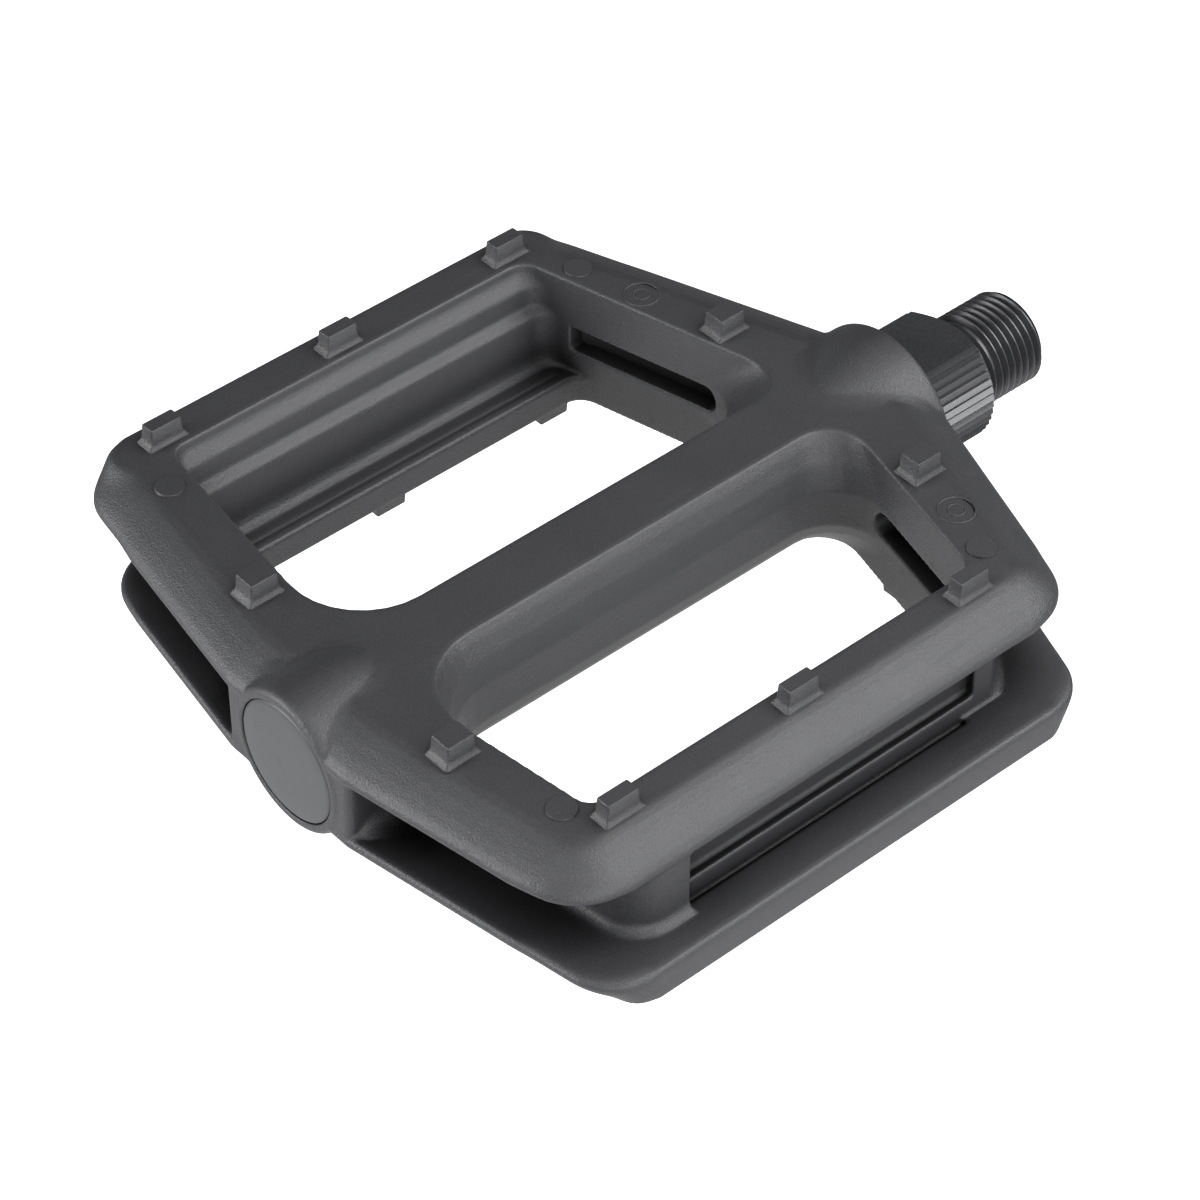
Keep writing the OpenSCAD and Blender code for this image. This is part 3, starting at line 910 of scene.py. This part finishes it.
    def cheek(self) -> bpy.types.Object:
        """Builds the wall that closes the outer end between the plates, beside the hub."""
        face = -self.outer_reach + self.cheek_setback
        back = -self.window_outer - self.web + self.cheek_overlap
        half = self.cheek_half
        plan = round_plan(
            [(face, -half), (back, -half), (back, half), (face, half)], [self.cheek_r, 0, 0, self.cheek_r], 4,
        )
        return raised("cheek", plan, -self.cheek_top, self.cheek_top)

    def recess(self) -> list[bpy.types.Object]:
        """Builds the space that opens at the far edge between the plates."""
        z = self.plate_low
        wall = self.recess_wall
        low, high = self.recess_ends
        lip_low, lip_high = self.lip_ends
        back = (low, wall - self.recess_depth, -z)
        lip_foot = z - self.recess_step
        return [
            block("far_recess", (low, wall, -z - self.recess_step), (high, self.beyond, z)),
            block("recess_back", back, (high - self.recess_taper, self.beyond, self.recess_shelf)),
            block("recess_lip", (lip_low, wall, lip_foot), (lip_high, self.recess_lip, self.step_z)),
        ]

    def window(self) -> list[bpy.types.Object]:
        """Builds the rear window's space, with the groove and the slot beside it."""
        rings = []
        spine_outer, spine_crank, far_crank, far_outer = self.window_radii
        heights = sorted({z for z, _ in self.far_wall} | {z for z, _ in self.near_wall})
        for z in heights:
            near = interpolate(self.near_wall, z)
            far = interpolate(self.far_wall, z)
            depth = max(0.0, 1 - abs(z) / self.flat_h)
            plan = round_plan(
                [
                    (self.window_outer_x(near), near), (self.window_crank_x(near), near),
                    (self.window_crank_x(far), far), (self.window_outer_x(far), far),
                ],
                [spine_outer, spine_crank + self.window_crank_swell * depth, far_crank, far_outer], 8,
            )
            rings.append([(x, y, z) for x, y, _, _ in plan])
        groove = block("foot_groove", *self.groove)
        (near_end, far_end), half, (soft, crisp) = self.slot_ends, self.slot_half, self.slot_radii
        slot_plan = round_plan(
            [(near_end, -half), (far_end, -half), (far_end, half), (near_end, half)],
            [soft, crisp, crisp, soft], 5,
        )
        slot = loft("web_slot", [[(x, y, z) for y, z, _, _ in slot_plan] for x in self.slot_reach])
        return [loft("rear_window", rings), groove, slot]

    def bores(self) -> list[bpy.types.Object]:
        """Builds the bores for the cap, the cups and the spindle."""
        end = self.outer_reach + 1
        outer, inner = self.outer_cup_back, self.inner_cup_back
        cup_r = self.mouth_r - self.mouth_step
        open_r = self.mouth_r + self.mouth_bevel
        mouth = [
            (inner, cup_r), (self.mouth_x, cup_r), (self.mouth_x, self.mouth_r),
            (self.crank_reach - 0.3, self.mouth_r), (self.crank_reach + 0.1, open_r), (self.beyond, open_r),
        ]
        return [
            turned("outer_bore", [(-end, self.bore_r), (outer, self.bore_r)]),
            turned("tube_bore", [(outer - 1, self.tube_r), (inner + 1, self.tube_r)]),
            turned("inner_bore", mouth),
        ]

    def both(self, tools: Sequence[bpy.types.Object]) -> list[bpy.types.Object]:
        """Gives the tools and the same tools turned half a turn about the spindle."""
        return [copy for tool in tools for copy in (tool, half_turned(tool))]

    def build(self) -> bpy.types.Object:
        """Builds the whole platform, without its studs.

        Returns:
            The platform in millimetres, as one closed skin with softened edges.
        """
        body = self.upper_plate()
        combine(body, [half_turned(body)], Cut.ADD)
        combine(body, [self.core(), self.cheek(), self.hub()], Cut.ADD)
        blend = body.copy()
        blend.data = body.data.copy()
        bpy.context.scene.collection.objects.link(blend)
        apply_modifier(blend, "REMESH", mode="VOXEL", voxel_size=self.blend_voxel)
        hub = blend.vertex_groups.new(name="hub")
        along, across = self.hub_zone
        for vertex in blend.data.vertices:
            share = fade(vertex.co.x, along) * (1 - fade(vertex.co.y, across))
            hub.add([vertex.index], share, "REPLACE")
        apply_modifier(blend, "SMOOTH", factor=0.5, iterations=self.blend_passes)
        apply_modifier(blend, "SMOOTH", factor=0.5, iterations=self.hub_passes, vertex_group="hub")
        apply_modifier(blend, "DISPLACE", strength=-self.blend_sink, mid_level=0.0)
        combine(body, [blend], Cut.ADD)
        combine(body, self.both(self.recess()), Cut.REMOVE)
        combine(body, self.both(self.window()), Cut.REMOVE)
        combine(body, self.bores(), Cut.REMOVE)
        apply_modifier(body, "REMESH", mode="VOXEL", voxel_size=self.voxel)
        apply_modifier(body, "SMOOTH", factor=0.5, iterations=self.edge_passes)
        corners = body.vertex_groups.new(name="corners")
        along, across = self.corner_zone
        for vertex in body.data.vertices:
            share = fade(vertex.co.x, along) * fade(vertex.co.y, across)
            if share:
                corners.add([vertex.index], share, "REPLACE")
        apply_modifier(body, "SMOOTH", factor=0.5, iterations=self.corner_passes, vertex_group="corners")
        skin = sum(len(face.vertices) - 2 for face in body.data.polygons)
        apply_modifier(body, "DECIMATE", ratio=min(1.0, self.triangles / skin))
        body.name = "platform_body"
        return body


@dataclass
class Studs:
    """The grip studs and the small moulding marks of both faces, in millimetres."""

    platform: Platform
    height: float = 3.04
    pitch: float = 30.1
    bar: tuple[float, float] = (4.9, 2.2)
    side: tuple[float, float] = (4.15, 3.3)
    flare: Profile = ((-0.25, 0.86), (0.0, 0.84), (0.22, 0.62), (0.55, 0.36), (0.9, 0.2))
    flare_across: float = 0.78
    flare_r: float = 0.3
    edge_r: float = 0.22
    shift_x: float = -0.3
    far_y: float = 50.95
    near_y: float = -41.64
    side_ys: tuple[float, float] = (18.5, -20.7)
    crank_inset: float = 3.9
    outer_inset: float = 4.3
    marks: Sequence[tuple[float, float]] = ((-35.7, 42.3), (35.5, 41.8), (36.8, -37.1), (-35.4, -37.0))
    mark_r: float = 2.0
    mark_height: float = 0.24
    dials: Sequence[tuple[float, float]] = ((38.4, 31.5), (39.6, -29.7))
    dial_r: float = 2.55
    inner_dial: float = 0.45
    dial_wire: float = 0.13

    def stud(self, x: float, y: float, size: tuple[float, float]) -> bpy.types.Object:
        """Builds one stud: a flared foot, steep sides and a crisp top edge.

        Args:
            x: its place along the spindle.
            y: its place across.
            size: the length and width of its top.

        Returns:
            The stud.
        """
        base = self.platform.flat_h
        edge = ((self.height - 0.12, 0.04), (self.height, -0.08))
        rings = []
        for z, grow in (*self.flare, *edge):
            half_x = size[0] / 2 + grow
            half_y = size[1] / 2 + grow * self.flare_across
            radius = self.edge_r + self.flare_r * max(0.0, grow)
            plan = round_plan(
                [(-half_x, -half_y), (half_x, -half_y), (half_x, half_y), (-half_x, half_y)], [radius] * 4, 4,
            )
            rings.append([(x + px, y + py, base + z) for px, py, _, _ in plan])
        return loft("stud", rings)

    def mark(self, x: float, y: float, sides: int = 40) -> bpy.types.Object:
        """Builds the faint round step that an ejector pin leaves."""
        base = self.platform.flat_h
        turns = [math.tau * i / sides for i in range(sides)]
        rings = []
        for z, grow in ((-0.2, 0.12), (0.0, 0.1), (self.mark_height, 0.0)):
            radius = self.mark_r + grow
            rings.append([(x + radius * math.cos(t), y + radius * math.sin(t), base + z) for t in turns])
        return loft("mark", rings)

    def dial(self, x: float, y: float) -> list[bpy.types.Object]:
        """Builds a plain round mould insert: two fine raised rings."""
        rings = []
        for radius in (self.dial_r, self.dial_r * self.inner_dial):
            deselect_all()
            bpy.ops.mesh.primitive_torus_add(
                location=(x, y, self.platform.flat_h), major_radius=radius, minor_radius=self.dial_wire,
                major_segments=48, minor_segments=8,
            )
            bpy.ops.object.transform_apply(location=True, rotation=True, scale=True)
            rings.append(bpy.context.object)
        return rings

    def build(self) -> bpy.types.Object:
        """Builds all studs and marks of the upper face, and their copies below.

        Returns:
            The studs and marks as one object of separate closed shells.
        """
        shells = []
        for step in (-1, 0, 1):
            x = step * self.pitch + self.shift_x
            shells.append(self.stud(x, self.far_y, self.bar))
            shells.append(self.stud(x, self.near_y, self.bar))
        for y in self.side_ys:
            shells.append(self.stud(self.platform.window_crank_x(y) + self.crank_inset, y, self.side))
            shells.append(self.stud(self.platform.window_outer_x(y) - self.outer_inset, y, self.side))
        shells += [self.mark(x, y) for x, y in self.marks]
        for x, y in self.dials:
            shells += self.dial(x, y)
        shells += [half_turned(shell) for shell in list(shells)]
        return join(shells, "grip_studs")


@dataclass
class DustCap:
    """The round cap in the outer end of the hub, in millimetres."""

    reach: float
    radius: float = 9.03
    # Fall of the face behind its middle, at distances in from the rim
    dome: Profile = ((0.02, 8.53), (0.03, 3.03), (0.06, 0.83), (0.12, 0.3), (0.25, 0.1), (0.5, 0.0))
    thickness: float = 1.6
    skirt: float = 2.5
    wall: float = 1.4

    def build(self) -> bpy.types.Object:
        """Builds the cap: a faintly domed disc with a soft rim, and its skirt."""
        face = -self.reach
        back = face + self.thickness
        end = back + self.skirt
        dome = [(face + drop, self.radius - inset) for drop, inset in self.dome]
        cap = turned("dust_cap_disc", [*dome, (end, self.radius)])
        bore = self.radius - self.wall
        hollow = turned("cap_hollow", [(back, bore), (end + 1, bore)])
        combine(cap, [hollow], Cut.REMOVE)
        return cap


# ------------------------------------------------------------------- spindle


@dataclass
class Spindle:
    """The spindle with its serrated collar and left-hand crank thread, in millimetres."""

    middle_to_thread: float = 71.5
    thread_r: float = 7.14
    thread_len: float = 9.6
    pitch: float = 1.27
    thread_depth: float = 0.85
    # Shares of the pitch: half the ridge at its foot and at its crest
    flank_half: float = 0.46
    crest_half: float = 0.07
    # Turns of thread before its datum, and the turns over which it rises
    lead_in: float = 1.1
    run_out: float = 0.6
    neck: float = 2.4
    cone: float = 1.6
    collar: float = 10.5
    collar_r: float = 9.9
    seat_r: float = 7.35
    teeth: int = 50
    tooth_depth: float = 0.5
    tooth_shape: Sequence[float] = (0.0, 0.55, 1.0, 0.55)
    across_flats: float = 15.0
    flat_turn: float = 7.7
    steps: int = 72
    shaft: Profile = (
        (-47.9, 3.57), (-47.5, 3.97), (-36.57, 3.97), (-36.5, 4.6), (-31.1, 5.0), (38.1, 6.0), (51.2, 6.0),
        (53.1, 8.3), (54.9, 8.3), (54.95, 7.2), (58.0, 7.2),
    )

    def collar_solid(self) -> bpy.types.Object:
        """Builds the serrated collar, with its two wrench flats."""
        start = self.middle_to_thread - self.neck - self.cone - self.collar
        cone = start + self.collar
        end = cone + self.cone
        steps = self.tooth_shape
        points = self.teeth * len(steps)
        star = []
        for i in range(points):
            radius = self.collar_r - self.tooth_depth * steps[i % len(steps)]
            angle = math.tau * i / points
            star.append((radius * math.cos(angle), radius * math.sin(angle)))
        solid = loft("collar", [[(x, y, z) for y, z in star] for x in (start, end - 0.02)])
        limit = turned("collar_limit", [
            (start - 0.01, self.collar_r - 0.5), (start + 0.7, self.collar_r + 0.1),
            (cone - 0.06, self.collar_r + 0.1), (cone, self.collar_r), (end - 0.1, self.seat_r + 0.12),
            (end, self.seat_r),
        ], 128)
        combine(solid, [limit], Cut.KEEP)
        for side in (-1, 1):
            near, past = side * self.across_flats / 2, side * self.across_flats
            low, high = sorted((near, past))
            flat = block("flat", (start - 1, -self.across_flats, low), (end + 1, self.across_flats, high))
            flat.data.transform(Matrix.Rotation(-math.radians(self.flat_turn), 4, "X"))
            combine(solid, [flat], Cut.REMOVE)
        return solid

    def thread(self) -> bpy.types.Object:
        """Winds the left-hand crank thread on its core.

        Returns:
            The thread, faded out at the neck and chamfered at its tip.
        """
        start = self.middle_to_thread
        end = start + self.thread_len
        root = self.thread_r - self.thread_depth
        core = turned("thread_core", [
            (start - self.neck - 1.5, root), (end - 0.7, root), (end - 0.02, root - 0.55),
        ])
        half = self.pitch * self.flank_half
        crest = self.pitch * self.crest_half
        turns = self.thread_len / self.pitch + self.lead_in + 0.7
        rings = []
        for step in range(int(turns * self.steps) + 1):
            turn = step / self.steps
            x = start + (turn - self.lead_in) * self.pitch
            height = self.thread_depth * ease(turn / self.run_out)
            angle = math.tau * turn
            ring = []
            foot, top = root - 0.1, root + height
            for dx, r in ((-half, foot), (half, foot), (crest, top), (-crest, top)):
                ring.append((x + dx, r * math.cos(angle), r * math.sin(angle)))
            rings.append(ring)
        ridge = loft("thread_ridge", rings)
        tip = turned("thread_limit", [
            (start - 3, self.thread_r + 0.2), (end - 1.1, self.thread_r + 0.2), (end, self.thread_r - 1.05),
        ], 128)
        combine(ridge, [tip], Cut.KEEP)
        combine(core, [ridge], Cut.ADD)
        return core

    def build(self) -> bpy.types.Object:
        """Builds the spindle from its nut end to the crank thread.

        Returns:
            The spindle as one skin.
        """
        spindle = turned("spindle_forging", self.shaft, 96)
        combine(spindle, [self.collar_solid(), self.thread()], Cut.ADD)
        return spindle


@dataclass
class Bearings:
    """The parts that keep their CAD shapes: cups, cone, washer, nut, seal and balls."""

    finishes: Finishes
    balls: Sequence[str] = ("inner_ball", "outer_ball")

    def dress(self, nodes: dict[str, bpy.types.Object]) -> None:
        """Gives each CAD node its finish.

        Args:
            nodes: the frame's CAD nodes, by name.
        """
        finishes = {
            "outer_cup": self.finishes.race,
            "inner_cup": self.finishes.race,
            "cone": self.finishes.race,
            "lock_washer": self.finishes.zinc,
            "lock_nut": self.finishes.zinc,
            "dust_seal": self.finishes.rubber,
        }
        for name, node in nodes.items():
            material = self.finishes.ball if name.startswith(tuple(self.balls)) else finishes.get(name)
            if material is None:
                continue
            node.data.materials.clear()
            node.data.materials.append(material)
            smooth(node, 30)
            LOG.info("%s: dressed", name)


# -------------------------------------------------------------------- studio


@dataclass(frozen=True)
class Lamp:
    """One soft area light, aimed at the middle of the pedal."""

    name: str
    azimuth: float
    elevation: float
    distance: float
    size: float
    power: float
    colour: tuple[float, float, float] = (1.0, 1.0, 1.0)

    def hang(self, aim: Vector) -> None:
        """Hangs the light round the point it aims at.

        Args:
            aim: the point that it lights.
        """
        turn, rise = math.radians(self.azimuth), math.radians(self.elevation)
        level = math.cos(rise)
        away = Vector((level * math.cos(turn), level * math.sin(turn), math.sin(rise)))
        data = bpy.data.lights.new(self.name, "AREA")
        data.shape = "DISK"
        data.size = self.size
        data.energy = self.power
        data.color = self.colour
        lamp = bpy.data.objects.new(self.name, data)
        lamp.location = aim + away * self.distance
        lamp.rotation_euler = away.to_track_quat("Z", "Y").to_euler()
        bpy.context.scene.collection.objects.link(lamp)


@dataclass
class Studio:
    """The camera, lights, pale floor and plain world."""

    target: Point = (-70.523, -2.462, -1.300)
    towards_camera: Point = (-0.4815, -0.5511, 0.6815)
    camera_up: Point = (0.4484, 0.5132, 0.7318)
    distance: float = 547.0
    lens: float = 123.5
    floor_z: float = -0.42
    floor_size: float = 8.0
    world: float = 0.09
    lamps: Sequence[Lamp] = (
        Lamp("key_left", 150, 12, 0.8, 0.6, 7.4),
        Lamp("front_left", 240, 14, 0.8, 0.6, 3.8),
        Lamp("front_low", 285, 14, 0.8, 0.6, 3.0),
        Lamp("front_right", 318, 46, 0.8, 0.6, 6.2),
        Lamp("top_soft", 200, 75, 0.8, 0.6, 1.6),
        Lamp("rear_top", 20, 60, 0.8, 0.6, 1.0),
    )

    def aim(self) -> Vector:
        """Gives the point that the camera and the lights aim at, in metres."""
        return Vector(self.target) * MM

    def camera(self) -> None:
        """Places the camera, upright and without depth of field or shift."""
        back = Vector(self.towards_camera).normalized()
        right = Vector(self.camera_up).cross(back).normalized()
        up = back.cross(right)
        data = bpy.data.cameras.new("view_camera")
        data.lens = self.lens
        data.sensor_width = 36.0
        data.clip_start = 0.01
        camera = bpy.data.objects.new("view_camera", data)
        turn = Matrix((right, up, back)).transposed().to_4x4()
        camera.matrix_world = Matrix.Translation(self.aim() + back * self.distance * MM) @ turn
        bpy.context.scene.collection.objects.link(camera)
        bpy.context.scene.camera = camera

    def floor(self) -> None:
        """Lays the pale floor far enough below to take no shadow of its own."""
        deselect_all()
        bpy.ops.mesh.primitive_plane_add(size=self.floor_size, location=(*self.aim().xy, self.floor_z))
        floor = bpy.context.object
        floor.name = "studio_floor"
        material = bpy.data.materials.new("floor_white")
        material.use_nodes = True
        shader = material.node_tree.nodes["Principled BSDF"]
        shader.inputs["Base Color"].default_value = (0.8, 0.8, 0.8, 1)
        shader.inputs["Roughness"].default_value = 0.9
        shader.inputs["Specular IOR Level"].default_value = 0.1
        shader.inputs["Emission Color"].default_value = (1, 1, 1, 1)
        nodes = Nodes(material.node_tree)
        seen = nodes.add("ShaderNodeLightPath").outputs["Is Camera Ray"]
        nodes.link(seen, shader.inputs["Emission Strength"])
        floor.data.materials.append(material)

    def sky(self) -> None:
        """Fills the world with plain white light."""
        world = bpy.data.worlds.new("studio_world")
        world.use_nodes = True
        background = world.node_tree.nodes["Background"]
        background.inputs["Color"].default_value = (1, 1, 1, 1)
        nodes = Nodes(world.node_tree)
        seen = nodes.add("ShaderNodeLightPath").outputs["Is Camera Ray"]
        strength = nodes.math("MULTIPLY", seen, 1 - self.world)
        nodes.link(nodes.math("ADD", strength, self.world), background.inputs["Strength"])
        bpy.context.scene.world = world
        bpy.context.scene.view_settings.view_transform = "Standard"

    def build(self) -> None:
        """Builds the whole studio."""
        self.camera()
        self.floor()
        self.sky()
        for lamp in self.lamps:
            lamp.hang(self.aim())


def main() -> None:
    """Builds the pedal piece by piece, then the studio round it."""
    logging.basicConfig(level=logging.INFO, format="%(name)s %(message)s")
    body_low, body_high = (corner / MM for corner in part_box("pedal_body"))
    thread_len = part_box("spindle")[1].x / MM
    middle_x = -Spindle.middle_to_thread
    outer_reach = middle_x - body_low.x
    platform = Platform(
        outer_reach=outer_reach, crank_reach=body_high.x - middle_x, far_edge=body_high.y + FAR_EXTRA
    )
    finishes = Finishes()

    body = platform.build()
    smooth(body, 180)
    into_frame(body, middle_x * MM)
    hand_over(body, "platform", "pedal_body", finishes.nylon)

    studs = Studs(platform).build()
    smooth(studs, 35)
    into_frame(studs, middle_x * MM)
    hand_over(studs, "platform", "pedal_body", finishes.nylon)

    cap = DustCap(reach=outer_reach).build()
    cap.name = "dust_cap_disc"
    smooth(cap, 40)
    into_frame(cap, middle_x * MM)
    hand_over(cap, "platform", "dust_cap", finishes.cap)

    spindle = Spindle(thread_len=thread_len - THREAD_SHORT).build()
    smooth(spindle, 28)
    into_frame(spindle, middle_x * MM)
    hand_over(spindle, "spindle_assembly", "spindle", finishes.oxide)

    Bearings(finishes).dress(frame["nodes"])
    Studio().build()


if __name__ == "__main__":
    main()
